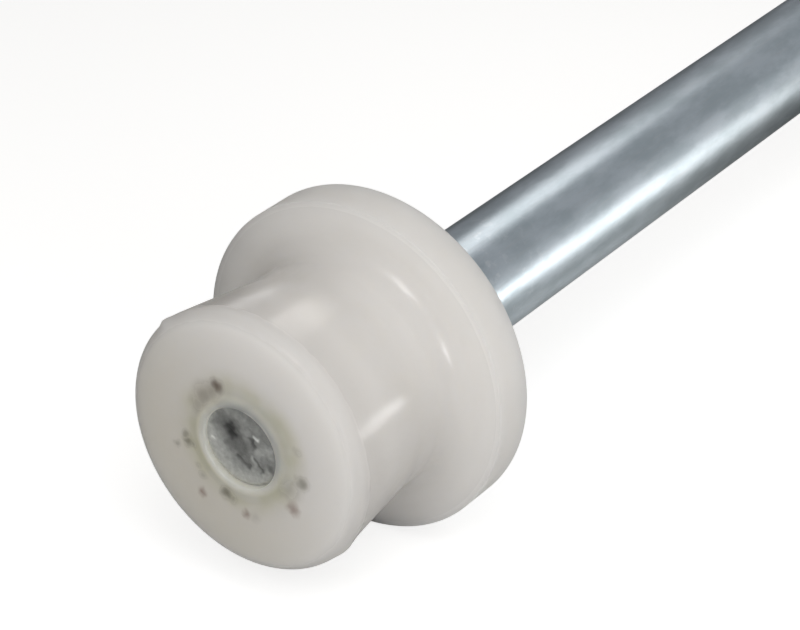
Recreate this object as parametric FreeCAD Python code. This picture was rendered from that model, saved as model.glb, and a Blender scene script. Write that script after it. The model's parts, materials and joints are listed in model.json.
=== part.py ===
"""Door guide pin: a plated steel bar with a nylon guide head moulded onto its end.

Millimetres. The pin's axis lies along X, with +Z up. The origin is on the axis at the back face of
the head's flange: the bare shank runs from there to +X, and the head to -X.
"""
import FreeCAD, Part
import math
import os

# Steel bar
bar_diameter = 12.0
shank_length = 108.0
end_chamfer = 1.0

# Retaining grooves turned in the bar under the head, the first one flush with the flange's back face
groove_count = 2
groove_pitch = 8.0
groove_width = 2.5
groove_depth = 0.8

# Cropped end of the bar: the blade leaves it a little out of square, leaning towards one side
crop_angle = 2.5
crop_direction = 150.0

# Nylon guide head, from its back face to its front face
flange_diameter = 34.4
flange_thickness = 4.5
flange_edge_break = 0.15
root_fillet_radius = 1.5
neck_diameter = 24.0
neck_length = 5.1
flare_length = 11.0
flare_blend_radius = 10.0
lip_diameter = 26.8
lip_crown_radius = 1.4
face_bevel_length = 1.0
face_diameter = 25.4
face_edge_radius = 0.9

# Hole left in the front face by the mould's core pin, which stops on the end of the bar
cover_thickness = 0.45
hole_diameter = 8.4
hole_edge_break = 0.2

# Places along the axis
flange_front = -flange_thickness
neck_front = flange_front - neck_length
lip_crown = neck_front - flare_length
face_front = lip_crown - face_bevel_length
bar_front = face_front + cover_thickness

# Runs of a profile that are shorter than this are left out
shortest_run = 1e-6

origin = FreeCAD.Vector(0, 0, 0)
pin_axis = FreeCAD.Vector(1, 0, 0)
tilt_axis = FreeCAD.Vector(0, 1, 0)


def rounded_outline(corners):
    """Closed wire through the corners (x, r, rounding) of a half section, each rounded by that radius."""
    points = [FreeCAD.Vector(x, 0, r) for x, r, rounding in corners]
    bends = []
    for index, corner in enumerate(points):
        rounding = corners[index][2]
        back = (points[index - 1] - corner).normalize()
        ahead = (points[(index + 1) % len(points)] - corner).normalize()
        inward = (back + ahead).normalize()
        half_angle = back.getAngle(ahead) / 2
        setback = rounding / math.tan(half_angle)
        crown = rounding / math.sin(half_angle) - rounding
        bends.append((corner + back * setback, corner + inward * crown, corner + ahead * setback))

    edges = []
    for index, (start, middle, end) in enumerate(bends):
        if start.distanceToPoint(end) > shortest_run:
            edges.append(Part.Arc(start, middle, end).toShape())
        next_start = bends[(index + 1) % len(bends)][0]
        if end.distanceToPoint(next_start) > shortest_run:
            edges.append(Part.LineSegment(end, next_start).toShape())
    return Part.Wire(edges)


def turned(corners):
    """Solid of revolution about the pin's axis, from the corners of its half section."""
    return Part.Face(rounded_outline(corners)).revolve(origin, pin_axis, 360)


def steel_shank():
    """Bar with a chamfered free end, retaining grooves under the head and a cropped front end."""
    bar_radius = bar_diameter / 2
    groove_floor = bar_radius - groove_depth
    blank_front = bar_front - bar_radius * math.tan(math.radians(crop_angle))

    corners = [(blank_front, 0, 0), (blank_front, bar_radius, 0)]
    for index in reversed(range(groove_count)):
        groove_back = -index * groove_pitch
        groove_front = groove_back - groove_width
        corners += [(groove_front, bar_radius, 0), (groove_front, groove_floor, 0)]
        corners += [(groove_back, groove_floor, 0), (groove_back, bar_radius, 0)]
    corners += [(shank_length - end_chamfer, bar_radius, 0), (shank_length, bar_radius - end_chamfer, 0)]
    corners += [(shank_length, 0, 0)]

    waste_size = 2 * bar_diameter
    waste = Part.makeBox(waste_size, waste_size, waste_size)
    waste.translate(FreeCAD.Vector(-waste_size, -waste_size / 2, -waste_size / 2))
    waste.rotate(origin, tilt_axis, crop_angle)
    waste.rotate(origin, pin_axis, crop_direction)
    waste.translate(FreeCAD.Vector(bar_front, 0, 0))
    return turned(corners).cut(waste)


def nylon_guide_head(bar):
    """Moulded bobbin: flange, neck, flare and bevelled lip, closed around the bar that it is moulded onto."""
    flange_radius = flange_diameter / 2
    neck_radius = neck_diameter / 2
    lip_radius = lip_diameter / 2
    face_radius = face_diameter / 2
    hole_radius = hole_diameter / 2
    hole_floor = bar_front + bar_diameter / 2 * math.tan(math.radians(crop_angle))

    return turned([
        (0, 0, 0),
        (0, flange_radius - flange_edge_break, 0),
        (-flange_edge_break, flange_radius, 0),
        (flange_front + flange_edge_break, flange_radius, 0),
        (flange_front, flange_radius - flange_edge_break, 0),
        (flange_front, neck_radius, root_fillet_radius),
        (neck_front, neck_radius, flare_blend_radius),
        (lip_crown, lip_radius, lip_crown_radius),
        (face_front, face_radius, face_edge_radius),
        (face_front, hole_radius + hole_edge_break, 0),
        (face_front + hole_edge_break, hole_radius, 0),
        (hole_floor, hole_radius, 0),
        (hole_floor, 0, 0),
    ]).cut(bar)


shank = steel_shank()
head = nylon_guide_head(shank)

os.makedirs("parts", exist_ok=True)
shank.exportStep("parts/steel_shank.step")
head.exportStep("parts/nylon_guide_head.step")
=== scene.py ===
import json
import math

import bpy
import numpy as np
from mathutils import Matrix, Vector


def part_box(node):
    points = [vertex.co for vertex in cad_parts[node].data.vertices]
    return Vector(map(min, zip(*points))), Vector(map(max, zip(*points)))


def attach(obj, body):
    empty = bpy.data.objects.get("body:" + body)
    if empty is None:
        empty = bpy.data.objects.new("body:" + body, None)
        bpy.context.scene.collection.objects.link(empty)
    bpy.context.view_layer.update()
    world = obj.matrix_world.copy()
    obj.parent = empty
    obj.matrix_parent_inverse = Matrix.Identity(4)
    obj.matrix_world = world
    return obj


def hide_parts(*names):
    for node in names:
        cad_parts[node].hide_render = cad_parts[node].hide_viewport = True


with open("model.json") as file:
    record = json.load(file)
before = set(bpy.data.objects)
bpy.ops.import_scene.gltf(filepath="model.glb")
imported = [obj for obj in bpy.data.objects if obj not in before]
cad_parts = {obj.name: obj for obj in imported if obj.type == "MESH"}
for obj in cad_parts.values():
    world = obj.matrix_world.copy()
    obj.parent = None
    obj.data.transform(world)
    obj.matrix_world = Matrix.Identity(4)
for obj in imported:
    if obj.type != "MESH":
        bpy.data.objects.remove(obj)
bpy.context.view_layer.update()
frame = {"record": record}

# Steel shank: a length of cold-drawn round bar, plated with bright zinc. Its free end is chamfered, and two
# ring grooves near the other end hold the moulded head. That end was cropped on a shear: it leans a little,
# and shows as raw, partly torn steel in the hole of the head.
mm = 0.001
same_place = 1e-6
steps_around = 240
mounts = {mount["name"]: mount["dims"] for mount in frame["record"]["mounts"]}
head_low, head_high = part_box("nylon_guide_head")

bar_radius = mounts["shank"]["r_mm"] * mm
bar_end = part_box("steel_shank")[1][0]
chamfer = bar_end - mounts["shank"]["length_mm"] * mm
chamfer_rounding = 0.2 * mm
groove_backs = (-8.0 * mm, 0.0)
groove_width = 2.5 * mm
groove_floor = bar_radius - 0.8 * mm
groove_rounding = 0.05 * mm
cover_thickness = 0.45 * mm
crop_front = head_low[0] + cover_thickness
crop_rounding = 0.25 * mm
crop_lean = math.tan(math.radians(2.5))
crop_direction = math.radians(150)


def unit(vector):
    """The vector over its length."""
    return vector / np.linalg.norm(vector)


def straight(start, end, step):
    """Evenly spaced points from start to end, no further apart than the step: start + share (end - start)."""
    share = np.linspace(0, 1, 2 + int(np.linalg.norm(end - start) / step))[:, None]
    return start + share * (end - start)


def half_section(corners, run_step, bend_step):
    """Points (x, r) along a half section: straight runs from corner to corner (x, r, rounding), where each
    corner gives way to an arc of its rounding, tangent to both runs: centre + radius (cos t, sin t)."""
    points = np.array([corner[:2] for corner in corners])
    stretches = []
    run_start = points[0]
    for before, corner, after, (_, _, rounding) in zip(points, points[1:], points[2:], corners[1:]):
        back = unit(before - corner)
        ahead = unit(after - corner)
        half_angle = math.acos(back @ ahead) / 2
        bend_start = corner + back * rounding / math.tan(half_angle)
        centre = corner + unit(back + ahead) * rounding / math.sin(half_angle)
        bend_angle = math.pi - 2 * half_angle
        bend = np.linspace(0, bend_angle, 2 + int(rounding * bend_angle / bend_step))[:, None]
        arc = centre + (bend_start - centre) * np.cos(bend) - back * rounding * np.sin(bend)
        stretches += [straight(run_start, bend_start, run_step)[:-1], arc[:-1]]
        run_start = arc[-1]
    stretches.append(straight(run_start, points[-1], run_step))
    section = np.concatenate(stretches)
    fresh = np.linalg.norm(np.diff(section, axis=0), axis=1) > same_place
    return section[np.concatenate([[True], fresh])]


def skin(name, x, y, z, ring):
    """Closed mesh over a grid of points, rows along a half section and columns round the axis. The columns
    meet at the seam. The rows of a ring meet too; otherwise its first and last row are points on the axis."""
    rows, columns = x.shape
    corner = np.arange(rows * columns).reshape(rows, columns)
    place = np.stack([x, y, z], axis=-1).reshape(-1, 3)
    if ring:
        corner = np.vstack([corner, corner[:1]])
        caps = []
    else:
        place = place[columns - 1:(rows - 1) * columns + 1]
        corner = corner[1:-1] - (columns - 1)
        first = np.full(columns, 0)
        last = np.full(columns, len(place) - 1)
        caps = np.stack([first, np.roll(corner[0], -1), corner[0]], axis=-1).tolist()
        caps += np.stack([last, corner[-1], np.roll(corner[-1], -1)], axis=-1).tolist()
    aside = np.roll(corner, -1, axis=1)
    quads = np.stack([corner[:-1], aside[:-1], aside[1:], corner[1:]], axis=-1).reshape(-1, 4)
    mesh = bpy.data.meshes.new(name)
    mesh.from_pydata(place.tolist(), [], quads.tolist() + caps)
    mesh.shade_smooth()
    mesh.set_sharp_from_angle(angle=math.radians(40))
    piece = bpy.data.objects.new(name, mesh)
    bpy.context.scene.collection.objects.link(piece)
    return piece


shank_corners = [(crop_front, 0.0, 0), (crop_front, bar_radius, crop_rounding)]
for groove_back in groove_backs:
    groove_front = groove_back - groove_width
    shank_corners += [
        (groove_front, bar_radius, groove_rounding),
        (groove_front, groove_floor, groove_rounding),
        (groove_back, groove_floor, groove_rounding),
        (groove_back, bar_radius, groove_rounding),
    ]
shank_corners += [
    (bar_end - chamfer, bar_radius, chamfer_rounding),
    (bar_end, bar_radius - chamfer, chamfer_rounding),
    (bar_end, 0.0, 0),
]
section_x, section_r = half_section(shank_corners, run_step=1.2 * mm, bend_step=0.05 * mm).T

# The cropped face gets close rows of its own, for the torn steel.
crop_edge = bar_radius - crop_rounding
crop_rows = np.linspace(0, crop_edge - 0.05 * mm, 90)
beyond = (section_r >= crop_edge) | (section_x > crop_front + same_place)
section_x = np.concatenate([np.full(crop_rows.size, crop_front), section_x[beyond]])
section_r = np.concatenate([crop_rows, section_r[beyond]])

turn = np.linspace(0, 2 * math.pi, steps_around, endpoint=False)
x = np.repeat(section_x[:, None], steps_around, axis=1)
y = section_r[:, None] * np.cos(turn)
z = section_r[:, None] * np.sin(turn)

# The blade burnished a crescent where it entered, and beyond it the steel tore in small facets. Places,
# widths and heights on the face are in millimetres, and every edge on it wanders a little.
face_y = y / mm
face_z = z / mm
wander_y = 0.10 * np.sin(3.1 * face_z + 1.0) + 0.08 * np.sin(7.3 * face_z + 4.1 * face_y)
wander_z = 0.10 * np.sin(3.7 * face_y + 2.0) + 0.08 * np.sin(6.1 * face_y - 4.7 * face_z)
face_y = face_y + wander_y
face_z = face_z + wander_z

torn_y = -0.9
torn_z = 1.0
torn_radius = 3.7
torn_softness = 0.28
from_torn = np.hypot(face_y - torn_y, face_z - torn_z)
ragged = 0.25 * np.sin(5 * np.arctan2(face_z - torn_z, face_y - torn_y) + 1.0)
torn = 1 / (1 + np.exp((from_torn - torn_radius - ragged) / torn_softness))

facet_count = 70
facet_reach = 5.5
facet_slope = 0.14
facet_area = 0.5
facets = np.zeros_like(x)
covered = np.full_like(x, 0.02)
draw = np.random.default_rng(11)
for _ in range(facet_count):
    facet_y, facet_z = draw.uniform(-facet_reach, facet_reach, 2)
    slope_y, slope_z = draw.normal(0, facet_slope, 2)
    off_y = face_y - facet_y
    off_z = face_z - facet_z
    belongs = np.exp(-(((off_y**2 + off_z**2) / facet_area) ** 1.5))
    facets += belongs * (slope_y * off_y + slope_z * off_z)
    covered += belongs
relief = torn * facets / covered

burnished_lightness = 0.50
torn_lightness = 0.30
lightness = burnished_lightness + (torn_lightness - burnished_lightness) * torn


def nearness(y, z, start, end, width):
    """1 on a straight mark from start to end, falling off at that distance: exp(-(distance / width)^3)."""
    along = np.subtract(end, start)
    share = ((y - start[0]) * along[0] + (z - start[1]) * along[1]) / (along @ along)
    share = np.clip(share, 0, 1)
    aside = np.hypot(y - start[0] - share * along[0], z - start[1] - share * along[1])
    return np.exp(-((aside / width) ** 3))


# A deep pit, cracks, smears, a bright chip and two painted glints: start, end, width, lightness and height of
# each.
for mark_start, mark_end, mark_width, mark_lightness, mark_height in (
    ((2.3, 2.0), (0.5, 0.9), 1.00, 0.20, -0.03),
    ((1.2, 0.1), (0.2, -0.5), 1.10, 0.19, -0.05),
    # Painted shade: the pit is painted near black, the shade in its hollow.
    ((1.45, 1.5), (1.25, 0.7), 0.62, 0.04, -0.14),
    ((0.65, 2.9), (-0.8, 0.9), 0.38, 0.31, 0.05),
    ((0.75, -1.75), (-0.7, -2.3), 0.27, 0.15, -0.06),
    ((-1.1, 0.8), (-1.3, -0.1), 0.30, 0.10, -0.06),
    ((-1.4, -1.3), (-2.2, -2.3), 0.25, 0.16, -0.05),
    ((-1.0, -1.3), (-1.3, -1.8), 0.22, 0.42, 0.04),
    ((-1.9, -0.2), (-3.1, 0.0), 0.60, 0.44, 0.02),
    ((-2.9, -1.5), (-3.0, -1.7), 0.33, 0.19, -0.02),
    # Painted glints: the last two marks are bright spots where the torn steel catches the light.
    ((-1.65, 1.2), (-1.85, 1.2), 0.26, 0.90, 0.06),
    ((3.5, -0.35), (3.3, -0.35), 0.18, 0.75, 0.03),
):
    mark = nearness(face_y, face_z, mark_start, mark_end, mark_width)
    lightness += (mark_lightness - lightness) * mark
    relief += mark_height * mark

# The lean fades out along the bar. The middle of the face, which the hole leaves open, stands a little proud.
lean_length = 1.5 * mm
open_radius = 4.6 * mm
open_edge = 0.5 * mm
proud_height = 0.22
lean = crop_lean * (math.sin(crop_direction) * y - math.cos(crop_direction) * z)
leaning = np.clip((crop_front + lean_length - x) / lean_length, 0, 1)
in_hole = np.clip((open_radius - section_r) / open_edge, 0, 1)[:, None] * (x < crop_front + same_place)
x = x - lean * leaning - (relief + proud_height) * mm * in_hole

shank = skin("plated_shank", x, y, z, ring=False)
lightness_by_point = lightness.reshape(-1)[steps_around - 1:1 - steps_around]
steel_lightness = shank.data.attributes.new("lightness", "FLOAT", "POINT")
steel_lightness.data.foreach_set("value", lightness_by_point.astype(np.float32))
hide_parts("steel_shank")
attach(shank, "root")


class Tone:
    """A socket in a material's node tree. Arithmetic on tones adds Math nodes to the same tree."""

    def __init__(self, tree, socket=None):
        self.tree = tree
        self.socket = socket

    def node(self, kind, settings, sockets, output=0):
        """Adds a node of that kind, sets its settings, then fills its sockets with values or tones."""
        made = self.tree.nodes.new(kind)
        for name, value in settings.items():
            setattr(made, name, value)
        for name, value in sockets.items():
            if isinstance(value, Tone):
                self.tree.links.new(value.socket, made.inputs[name])
            else:
                made.inputs[name].default_value = value
        return Tone(self.tree, made.outputs[output])

    def math(self, operation, first, second):
        return self.node("ShaderNodeMath", {"operation": operation}, {0: first, 1: second})

    def __add__(self, other):
        return self.math("ADD", self, other)

    __radd__ = __add__

    def __sub__(self, other):
        return self.math("SUBTRACT", self, other)

    def __rsub__(self, other):
        return self.math("SUBTRACT", other, self)

    def __mul__(self, other):
        return self.math("MULTIPLY", self, other)

    __rmul__ = __mul__

    def __pow__(self, other):
        return self.math("POWER", self, other)

    def __rpow__(self, other):
        return self.math("POWER", other, self)

    def most(self, other):
        """The larger of two tones."""
        return self.math("MAXIMUM", self, other)

    def fade(self, none, full):
        """0 where the tone is at none, 1 where it is at full, with a smooth step between."""
        sockets = {"Value": self, "From Min": none, "From Max": full}
        return self.node("ShaderNodeMapRange", {"interpolation_type": "SMOOTHSTEP"}, sockets)

    def paint(self, under, over):
        """Colour under where the tone is 0 and over where it is 1."""
        settings = {"data_type": "RGBA", "clamp_factor": True}
        return self.node("ShaderNodeMix", settings, {0: self, 6: under, 7: over}, output=2)

    def vector(self, operation, other, output="Vector"):
        """Vector maths on two vectors, which gives a vector or, with output Value, a single tone."""
        return self.node("ShaderNodeVectorMath", {"operation": operation}, {0: self, 1: other}, output)

    def parts(self):
        """The three tones of a vector."""
        first = self.node("ShaderNodeSeparateXYZ", {}, {0: self})
        return [Tone(self.tree, socket) for socket in first.socket.node.outputs]

    def noise(self, scale, detail=2.0, roughness=0.5, output="Fac"):
        """Smooth random tone, with about this many bumps in each unit of the vector."""
        sockets = {"Vector": self, "Scale": scale, "Detail": detail, "Roughness": roughness}
        return self.node("ShaderNodeTexNoise", {}, sockets, output)

    def bump(self, height):
        """Normal of a surface with that relief, in metres."""
        return self.node("ShaderNodeBump", {}, {"Strength": 1.0, "Distance": 1.0, "Height": height})


def material(name):
    """An empty material, its shader, and the place on the object in millimetres as a tone."""
    made = bpy.data.materials.new(name)
    made.use_nodes = True
    shader = made.node_tree.nodes["Principled BSDF"]
    coordinates = Tone(made.node_tree).node("ShaderNodeTexCoord", {}, {}, output="Object")
    return made, shader, coordinates.vector("MULTIPLY", (1 / mm, 1 / mm, 1 / mm))


def connect(shader, **tones):
    """Links tones to the shader's sockets, which are named here with _ for a space."""
    for name, tone in tones.items():
        tone.tree.links.new(tone.socket, shader.inputs[name.replace("_", " ")])


black = (0, 0, 0, 1)
zinc_light = (0.525, 0.595, 0.645, 1)
zinc_dark = (0.42, 0.49, 0.53, 1)
zinc_warm = (0.55, 0.55, 0.55, 1)
zinc_fleck = (0.78, 0.81, 0.83, 1)
raw_steel = (0.98, 1.0, 0.97, 1)
drawn_depth = 0.0012 * mm
ripple_depth = 0.006 * mm
torn_depth = 0.03 * mm
blister_depth = 0.035 * mm
raw_reach = crop_front / mm + 0.6
raw_full = crop_front / mm + 0.4
blister_reach = 28
blister_full = 3

# The plate is cloudy, with drawn lines along the bar. Near the head it is blistered and flecked.
plate, plate_shader, place = material("bright_zinc_plate")
along = place.parts()[0]
cloud = place.vector("MULTIPLY", (0.35, 1, 1)).noise(scale=0.35, detail=4.0, roughness=0.65)
drawn = place.vector("MULTIPLY", (0.02, 1, 1)).noise(scale=9.0, detail=3.0, roughness=0.6)
speck = place.noise(scale=2.2, detail=2.0, roughness=0.7).fade(0.70, 0.78)
near_head = along.fade(blister_reach, blister_full)
fleck = place.noise(scale=0.9, detail=3.0, roughness=0.6).fade(0.55, 0.68) * near_head
zinc = cloud.fade(0.35, 0.65).paint(zinc_dark, zinc_light)
zinc = (drawn.fade(0.5, 0.8) * 0.4).paint(zinc, zinc_warm)
zinc = (speck * 0.5).paint(zinc, zinc_dark)
zinc = (fleck * 0.5).paint(zinc, zinc_fleck)

# The cropped end has no plate, and its own lightness at each point.
raw_end = along.fade(raw_reach, raw_full)
grain = place.noise(scale=1.6, detail=3.0, roughness=0.6)
raw_lightness = place.node("ShaderNodeAttribute", {"attribute_name": "lightness"}, {}, output="Fac")
raw = (raw_lightness * (0.55 + 0.9 * grain)).paint(black, raw_steel)

blister = near_head * place.noise(scale=1.1, detail=3.0, roughness=0.6)
ripple = place.noise(scale=0.6, detail=1.0)
plate_relief = drawn * drawn_depth + ripple * ripple_depth
plate_relief = plate_relief + raw_end * grain * torn_depth + blister * blister_depth
connect(
    plate_shader,
    Base_Color=raw_end.paint(zinc, raw),
    Roughness=0.24 + 0.10 * cloud + 0.10 * drawn + 0.15 * raw_end,
    Metallic=1 - 0.65 * raw_end,
    Normal=place.bump(plate_relief),
)
shank.data.materials.append(plate)

# Guide head: a bobbin of natural nylon, moulded onto the bar in a mould that parts along the axis. The core
# pin left a hole in the front face, with a low rim of flash, a little below the axis. The track has rubbed
# the lip and the flange's edge, and grease and rust have crept out of the hole.
flange_radius = head_high[2]
flange_thickness = 4.5 * mm
flange_front_rounding = 0.1 * mm
flange_back_rounding = 0.2 * mm
root_rounding = 2.6 * mm
neck_radius = mounts["track_neck"]["r_mm"] * mm
neck_length = mounts["track_neck"]["length_mm"] * mm
flare_blend = 10.0 * mm
lip_radius = 13.4 * mm
lip_rounding = 1.4 * mm
face_bevel = 1.0 * mm
face_radius = 12.7 * mm
face_rounding = 0.9 * mm
hole_radius = 4.15 * mm
hole_drop = 0.25 * mm
rim_height = 0.32 * mm
rim_inner_rounding = 0.15 * mm
rim_crown_width = 0.25 * mm
rim_crown_rounding = 0.30 * mm
rim_foot_width = 1.9 * mm
rim_foot_rounding = 2.0 * mm
rim_grip = 6.0 * mm
bore_rounding = 0.02 * mm

face_front = head_low[0]
lip_crown = face_front + face_bevel
flange_front = -flange_thickness
neck_front = flange_front - neck_length
face_middle = (hole_radius + face_radius) / 2
grip_back = crop_front + rim_grip

head_corners = [
    (face_front, face_middle, 0),
    (face_front, face_radius, face_rounding),
    (lip_crown, lip_radius, lip_rounding),
    (neck_front, neck_radius, flare_blend),
    (flange_front, neck_radius, root_rounding),
    (flange_front, flange_radius, flange_front_rounding),
    (0.0, flange_radius, flange_back_rounding),
    (0.0, groove_floor, bore_rounding),
]
for groove_back in reversed(groove_backs):
    groove_front = groove_back - groove_width
    if groove_back < 0:
        head_corners += [(groove_back, bar_radius, bore_rounding), (groove_back, groove_floor, bore_rounding)]
    head_corners += [(groove_front, groove_floor, bore_rounding), (groove_front, bar_radius, bore_rounding)]
head_corners += [
    (grip_back, bar_radius, bore_rounding),
    (grip_back, hole_radius, bore_rounding),
    (face_front - rim_height, hole_radius, rim_inner_rounding),
    (face_front - rim_height, hole_radius + rim_crown_width, rim_crown_rounding),
    (face_front, hole_radius + rim_foot_width, rim_foot_rounding),
    (face_front, face_middle, 0),
]
section_x, section_r = half_section(head_corners, run_step=0.45 * mm, bend_step=0.07 * mm)[:-1].T
x = np.repeat(section_x[:, None], steps_around, axis=1)

# The outside sank unevenly as it cooled. Where the mould parts, a little flash stands proud of the lip: a nib
# in the front bevel and, opposite, a low swell. Each has a turn and a width in degrees, and then a place
# behind the face, a length and a height.
sink_depth = 0.02 * mm
outside_start = neck_radius - 1.0 * mm
outside_edge = 0.8 * mm
outside = np.clip((section_r - outside_start) / outside_edge, 0, 1)[:, None]
sink = np.sin(2 * turn + 0.7) + 0.5 * np.sin(3 * turn + 1.9 + 90 * x) + 0.3 * np.sin(5 * turn - 140 * x)
radius = section_r[:, None] + sink_depth * outside * sink
for flash_turn, flash_width, flash_place, flash_length, flash_height in (
    (47.0, 3.5, 0.2 * mm, 0.8 * mm, 0.50 * mm),
    (218.0, 5.0, 1.9 * mm, 0.9 * mm, 0.20 * mm),
):
    aside = (np.degrees(turn) - flash_turn) / flash_width
    ahead = (x - face_front - flash_place) / flash_length
    radius = radius + flash_height * outside * np.exp(-(aside**2) - ahead**2)

drop_start = 7.0 * mm
drop_edge = 2.5 * mm
around_hole = np.clip((drop_start - section_r) / drop_edge, 0, 1) * (section_x < grip_back - same_place)
y = radius * np.cos(turn)
z = radius * np.sin(turn) - hole_drop * around_hole[:, None]
head = skin("moulded_head", x, y, z, ring=True)
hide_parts("nylon_guide_head")
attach(head, "root")

nylon_clean = (0.752, 0.728, 0.708, 1)
nylon_warm = (0.742, 0.716, 0.687, 1)
# Painted light: this colour lightens the upper right of the front and the root of the neck.
nylon_painted_light = (0.79, 0.766, 0.744, 1)
# Painted shade: this colour darkens and yellows the lower left of the front.
nylon_painted_shade = (0.675, 0.64, 0.575, 1)
# Painted shade: this colour darkens the lip and the flange's front edge and rim.
nylon_edge_shade = (0.64, 0.62, 0.602, 1)
nylon_pale_lit = (0.99, 0.93, 0.74, 1)
stain_olive = (0.60, 0.58, 0.44, 1)
grime_brown = (0.11, 0.07, 0.05, 1)
grime_olive = (0.16, 0.15, 0.11, 1)
rust_red = (0.22, 0.12, 0.09, 1)

# Places on the head in millimetres, as the material reads them.
face_x = face_front / mm
crown_x = lip_crown / mm
flange_x = flange_front / mm
neck_r = neck_radius / mm
lip_r = lip_radius / mm
flange_r = flange_radius / mm

nylon, nylon_shader, place = material("natural_nylon")
along, across, up = place.parts()
from_axis = (across * across + up * up) ** 0.5
from_root = ((along - flange_x) ** 2.0 + (from_axis - neck_r) ** 2.0) ** 0.5
on_front = along.fade(face_x + 0.6, face_x + 0.2)
patchy = place.noise(scale=0.30, detail=1.0)

# Nylon itself, with painted light and shade: painted lighter at the upper right of the front and darker and
# yellower at the lower left, as the light falls across it; painted darker on the lip and on the flange's
# front edge and rim, which face the lamps; and painted lighter in the root of the neck, against the shade
# there.
shade_to_lower_left = (0.75 * across - 0.65 * up).fade(-9, 12)
to_front = along.fade(crown_x + 7.6, crown_x + 1.6)
# Painted shade: the lip and the flange's front edge and rim, which face the lamps, are painted darker to tone
# down their light.
lip_painted_shade = from_axis.fade(lip_r - 1.5, lip_r - 0.4) * along.fade(crown_x + 6.1, crown_x + 0.6)
rim_painted_shade = from_axis.fade(flange_r - 2.0, flange_r) * along.fade(flange_x + 3.0, flange_x + 0.1)
edge_painted_shade = from_axis.fade(flange_r - 0.5, flange_r - 0.1) * along.fade(flange_x + 0.6, flange_x + 0.1)
edges_painted_shade = lip_painted_shade.most(0.7 * rim_painted_shade).most(1.25 * edge_painted_shade)
colour = patchy.fade(0.3, 0.7).paint(nylon_clean, nylon_warm)
colour = to_front.paint(colour, shade_to_lower_left.paint(nylon_painted_light, nylon_painted_shade))
colour = edges_painted_shade.paint(colour, nylon_edge_shade)
# Painted light: the root of the neck is painted lighter against the shade in that corner.
colour = from_root.fade(8.0, 1.0).paint(colour, nylon_painted_light)

# Dirt on the front face: an olive stain in a ring and specks of grime and rust. The pale rim round the hole
# is partly the flash's own cream and partly painted light, the glow of light through the thin nylon there.
straying = place.noise(scale=1.3, detail=1.0, output="Color").vector("SUBTRACT", (0.5, 0.5, 0.5))
strayed = place.vector("ADD", straying.vector("MULTIPLY", (0.0, 0.7, 0.7)))


def specks(spots):
    """Tone that is full at the middle of each spot (y, z, radius, strength) on the front face."""
    total = 0.0
    for spot_y, spot_z, spot_radius, strength in spots:
        distance = strayed.vector("DISTANCE", (face_x, spot_y, spot_z), output="Value")
        total = (distance.fade(1.5 * spot_radius, 0.0) * (0.85 * strength)).most(total)
    return total


stain = from_axis.fade(8.2, 5.2) * (0.45 + 0.55 * patchy.fade(0.35, 0.65)) * on_front
# Pale rim round the hole: partly cream flash, partly painted light.
pale_lit_rim = from_axis.fade(5.4, 4.5) * on_front
brown = specks([(2.7, 5.4, 0.85, 1.0), (4.2, 3.9, 1.3, 0.5), (5.0, 2.7, 1.0, 0.35), (3.3, 4.6, 1.2, 0.45)])
olive = specks([
    (6.6, -1.1, 0.55, 0.65), (6.4, -1.9, 0.6, 0.8), (5.8, -2.0, 0.45, 0.6), (1.9, -5.9, 0.8, 0.9),
    (1.2, -6.3, 0.6, 0.5), (-7.0, -1.6, 0.8, 0.75), (-5.5, -2.8, 1.3, 0.35), (7.7, -2.6, 0.4, 0.55),
    (5.2, -4.1, 0.35, 0.4), (4.7, -5.0, 0.45, 0.45), (-6.5, 1.7, 0.5, 0.25), (-1.4, -7.4, 0.6, 0.2),
])
rust = specks([(-5.9, -4.7, 0.75, 0.7), (4.9, -6.9, 0.55, 0.7), (-0.3, -7.4, 0.5, 0.65)])
colour = stain.paint(colour, stain_olive)
colour = pale_lit_rim.paint(colour, nylon_pale_lit)
colour = olive.paint(colour, grime_olive)
colour = rust.paint(colour, rust_red)
colour = brown.paint(colour, grime_brown)

# A satin skin with the mould's faint pebble, duller where it is soiled or scuffed.
pebble_depth = 0.012 * mm
wave_depth = 0.06 * mm
scuffed_lip = from_axis.fade(lip_r - 1.2, lip_r - 0.5) * along.fade(crown_x + 1.1, crown_x + 0.3)
scuffed = from_axis.fade(flange_r - 0.7, flange_r - 0.2).most(0.45 * scuffed_lip)
satin = place.noise(scale=0.8, detail=3.0)
nylon_relief = place.noise(scale=1.6) * pebble_depth + place.noise(scale=0.25, detail=1.0) * wave_depth
connect(
    nylon_shader,
    Base_Color=colour,
    Roughness=0.17 + 0.10 * satin + 0.3 * olive.most(brown) + 0.3 * scuffed,
    Normal=place.bump(nylon_relief),
)
nylon_shader.inputs["IOR"].default_value = 1.48
nylon_shader.inputs["Subsurface Weight"].default_value = 1.0
nylon_shader.inputs["Subsurface Radius"].default_value = (1.0, 0.97, 0.92)
nylon_shader.inputs["Subsurface Scale"].default_value = 11.0 * mm
head.data.materials.append(nylon)

# Stage: a plain white floor under the flange and a white room, darker on the left. Painted reflections on the
# bar: seen only in its mirror, the far floor is painted dark and a strip of floor close under the bar glows.
floor_level = head_low[2]
floor_reach = 6.0
floor_grid = np.linspace(-floor_reach, floor_reach, 25)
floor_x, floor_y = np.meshgrid(floor_grid, floor_grid, indexing="ij")
corner = np.arange(floor_x.size).reshape(floor_x.shape)
floor_quads = np.stack([corner[:-1, :-1], corner[1:, :-1], corner[1:, 1:], corner[:-1, 1:]], axis=-1)
floor_place = np.stack([floor_x, floor_y, np.full_like(floor_x, floor_level)], axis=-1)
floor_mesh = bpy.data.meshes.new("floor")
floor_mesh.from_pydata(floor_place.reshape(-1, 3).tolist(), [], floor_quads.reshape(-1, 4).tolist())
floor = bpy.data.objects.new("floor", floor_mesh)
bpy.context.scene.collection.objects.link(floor)


def grey(level):
    """A neutral colour."""
    return (level, level, level, 1)


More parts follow.
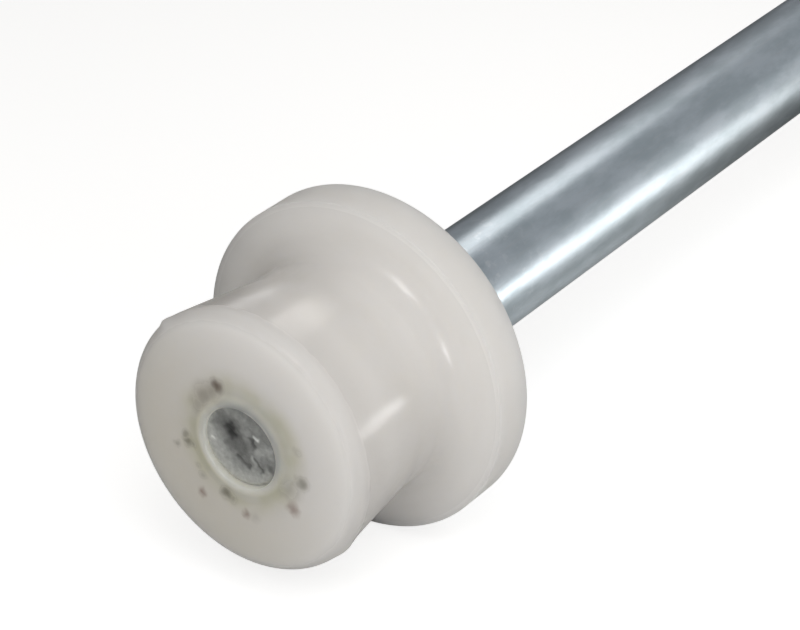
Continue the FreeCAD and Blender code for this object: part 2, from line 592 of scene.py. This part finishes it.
def ray_kinds(tone):
    """1 for rays that look from the camera or through glass, and 1 for rays off a glossy surface."""
    kinds = ("Camera", "Transmission", "Glossy")
    camera_ray, glass_ray, glossy_ray = [
        tone.node("ShaderNodeLightPath", {}, {}, output=f"Is {kind} Ray") for kind in kinds
    ]
    return camera_ray.most(glass_ray), glossy_ray


paper, paper_shader, place = material("white_paper")
along, across = place.parts()[:2]
seen, mirrored = ray_kinds(place)
# Painted reflections, for glossy rays only: a dark far floor and a glowing strip under the bar.
far_floor_painted_dark = along.fade(30, 110) * across.fade(-45, -10) * mirrored
mirror_strip_under_bar = along.fade(10, 25) * along.fade(70, 50) * across.fade(-14, -10) * across.fade(-5, -8)
painted_reflection_glow = mirrored.paint(black, mirror_strip_under_bar.paint(grey(0.05), grey(0.40)))
connect(
    paper_shader,
    Base_Color=far_floor_painted_dark.paint(grey(0.55), grey(0.05)),
    Emission_Color=seen.paint(painted_reflection_glow, grey(0.72)),
)
paper_shader.inputs["Emission Strength"].default_value = 1.0
paper_shader.inputs["Roughness"].default_value = 0.9
paper_shader.inputs["Specular IOR Level"].default_value = 0.0
floor.data.materials.append(paper)

right_wall = (0.345, 0.337, 0.317, 1)
left_wall = (0.10, 0.096, 0.087, 1)
mirrored_wall = (0.45, 0.45, 0.46, 1)
mirrored_corner = (0.285, 0.285, 0.295, 1)
corner_direction = (0.78, 0.62, 0.10)

world = bpy.data.worlds.new("white_room")
bpy.context.scene.world = world
world.use_nodes = True
background = world.node_tree.nodes["Background"]
direction = Tone(world.node_tree).node("ShaderNodeTexCoord", {}, {}, output="Generated")
seen, mirrored = ray_kinds(direction)
to_left = direction.parts()[1].fade(-0.4, 0.8)
to_corner = direction.vector("DOT_PRODUCT", corner_direction, output="Value").fade(0.80, 0.97)
room = mirrored.paint(to_left.paint(right_wall, left_wall), to_corner.paint(mirrored_wall, mirrored_corner))
connect(background, Color=seen.paint(room, grey(1.0)))
background.inputs["Strength"].default_value = 1.0

# Lamps: two softboxes high behind, whose mirror is the soft streak on the bar and the neck, strips low at the
# right for the white streak, two small front lamps that glint in the root of the neck, and plain fills.
white = (1.0, 1.0, 1.0)
tube_white = (1.0, 0.965, 0.935)
strip_side = -0.045
head_middle = (-0.015, 0.0, 0.0)


def lamp(name, place, aim, width, height, brightness, colour=white, mirrored=True):
    """Rectangular lamp of that size at place, facing aim. Brightness is its radiance. A lamp that isn't
    mirrored lights the object but leaves no streak on it."""
    light = bpy.data.lights.new(name, "AREA")
    light.shape = "RECTANGLE"
    light.size = width
    light.size_y = height
    light.energy = brightness * math.pi * width * height
    light.color = colour
    stand = bpy.data.objects.new(name, light)
    stand.location = place
    stand.rotation_mode = "QUATERNION"
    stand.rotation_quaternion = (Vector(aim) - Vector(place)).to_track_quat("-Z", "Y")
    stand.visible_camera = False
    stand.visible_glossy = mirrored
    bpy.context.scene.collection.objects.link(stand)


lamp("high_softbox", (0.100, 0.031, 0.079), (-0.01, 0.0, 0.01), 0.048, 0.036, 1.9, tube_white)
lamp("far_softbox", (0.165, 0.050, 0.079), (0.05, 0.0, 0.0), 0.050, 0.040, 0.25, tube_white)
for strip, strip_x, strip_z, strip_width, strip_height, strip_brightness, strip_colour in (
    ("neck_strip", 0.0435, -0.0035, 0.034, 0.006, 6.5, white),
    ("shank_strip", 0.0785, -0.0065, 0.036, 0.022, 2.7, tube_white),
    ("far_strip", 0.1135, -0.0065, 0.034, 0.022, 1.75, tube_white),
    ("shank_glow", 0.115, 0.017, 0.090, 0.024, 0.34, tube_white),
    ("far_glow", 0.130, 0.018, 0.050, 0.028, 0.50, tube_white),
):
    strip_place = (strip_x, strip_side, strip_z)
    strip_aim = (strip_x, 0.0, strip_z)
    lamp(strip, strip_place, strip_aim, strip_width, strip_height, strip_brightness, strip_colour)
lamp("left_glow", (0.0287, 0.0375, 0.0224), (-0.018, 0.001, 0.013), 0.012, 0.008, 1.3)
lamp("key_lamp", (-0.08, -0.08, 0.19), head_middle, 0.10, 0.10, 2.6, mirrored=False)
lamp("front_fill", (-0.11, -0.13, 0.10), head_middle, 0.10, 0.10, 1.7, mirrored=False)
lamp("front_high_fill", (-0.17, -0.03, 0.14), head_middle, 0.07, 0.07, 5.5)
lamp("front_low_fill", (-0.16, -0.16, 0.03), head_middle, 0.05, 0.05, 7.9)
lamp("back_fill", (0.03, -0.10, 0.16), (-0.01, 0.0, 0.0), 0.10, 0.10, 0.9, mirrored=False)

# Camera: a long lens, looking down on the front face and along the shank, which leaves the picture at the
# upper right.
camera_place = Vector((-0.18010, -0.13127, 0.13194))
camera_aim = Vector((0.00670, 0.00236, -0.00025))
camera_data = bpy.data.cameras.new("camera")
camera_data.lens = 119.8
camera_data.sensor_width = 36.0
camera_data.sensor_fit = "HORIZONTAL"
camera_data.clip_start = 0.01
camera = bpy.data.objects.new("camera", camera_data)
camera.location = camera_place
camera.rotation_mode = "QUATERNION"
camera.rotation_quaternion = (camera_aim - camera_place).to_track_quat("-Z", "Y")
bpy.context.scene.collection.objects.link(camera)
bpy.context.scene.camera = camera
bpy.context.scene.view_settings.view_transform = "Standard"
